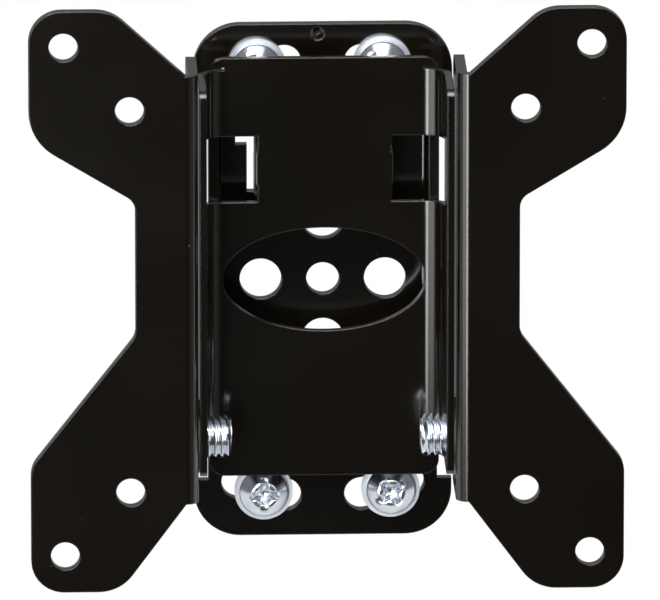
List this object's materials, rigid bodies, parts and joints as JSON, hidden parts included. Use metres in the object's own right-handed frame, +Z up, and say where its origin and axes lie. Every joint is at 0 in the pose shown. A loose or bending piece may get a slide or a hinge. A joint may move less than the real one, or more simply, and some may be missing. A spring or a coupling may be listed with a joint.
{
  "type": "tilting tv wall bracket",
  "caption": "Black steel wall bracket for a small flat screen: slotted wall plate, folded channel and two wings with screen holes that tilt on side bolts.",
  "frame": {"origin": "centre of the wall plate's middle hole, on the wall", "axes": "+Z up, +X to the right facing the wall, -Y away from the wall towards the screen"},
  "size_m": [0.1132, 0.049, 0.1142],
  "materials": {
    "black_paint": "gloss black powder coat on folded steel",
    "zinc_plate": "bright zinc plate",
    "nylon": "natural nylon"
  },
  "bodies": {
    "bracket": {"wall_plate": "black_paint", "tilt_channel": "black_paint", "left_pivot_bolt": "zinc_plate", "left_friction_washer": "nylon", "left_flat_washer": "zinc_plate", "left_lock_washer": "zinc_plate", "right_pivot_bolt": "zinc_plate", "right_friction_washer": "nylon", "right_flat_washer": "zinc_plate", "right_lock_washer": "zinc_plate"},
    "left_wing": {"left_wing": "black_paint"},
    "right_wing": {"right_wing": "black_paint"},
    "wall_screws": {"top_right_screw": "zinc_plate", "top_right_washer": "zinc_plate", "top_left_screw": "zinc_plate", "top_left_washer": "zinc_plate", "bottom_left_screw": "zinc_plate", "bottom_left_washer": "zinc_plate", "bottom_right_screw": "zinc_plate", "bottom_right_washer": "zinc_plate"}
  },
  "joints": [
    {"name": "left_tilt", "type": "hinge", "parent": "bracket", "child": "left_wing", "pos_m": [-0.0255, -0.019, -0.0264], "axis": [1, 0, 0], "range_deg": [-5, 15]},
    {"name": "right_tilt", "type": "hinge", "parent": "bracket", "child": "right_wing", "pos_m": [0.0255, -0.019, -0.0264], "axis": [1, 0, 0], "range_deg": [-5, 15]},
    {"name": "levelling", "type": "hinge", "parent": "bracket", "child": "wall_screws", "pos_m": [0, 0, 0], "axis": [0, 1, 0], "range_deg": [-5, 5]}
  ]
}
